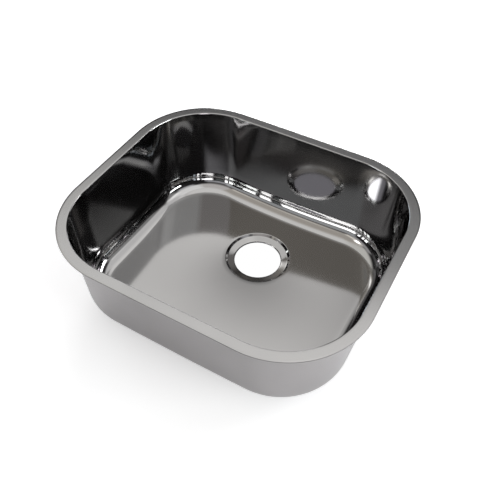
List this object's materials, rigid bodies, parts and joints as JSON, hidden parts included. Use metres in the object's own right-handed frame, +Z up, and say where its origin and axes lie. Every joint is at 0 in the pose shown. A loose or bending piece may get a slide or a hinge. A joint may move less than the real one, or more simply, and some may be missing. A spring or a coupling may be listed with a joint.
{
  "type": "kitchen sink bowl",
  "caption": "Deep round-cornered stainless steel kitchen sink bowl with a flat mounting flange, a base falling to an open recessed drain hole behind its middle, and sound pads underneath.",
  "frame": {"origin": "under the middle of the flange's outline, at the level of the drain lip's lower end", "axes": "+X along the long side, +Y towards the side that the drain is nearer to, +Z up through the bowl's mouth"},
  "size_m": [0.534, 0.46, 0.1947],
  "materials": {
    "stainless": "mirror-polished walls, satin base, brushed flange",
    "pad_rubber": "matt, faintly pebbled"
  },
  "bodies": {
    "root": {"bowl": "stainless", "sound_pad_front": "pad_rubber", "sound_pad_left": "pad_rubber", "sound_pad_right": "pad_rubber"}
  },
  "joints": []
}
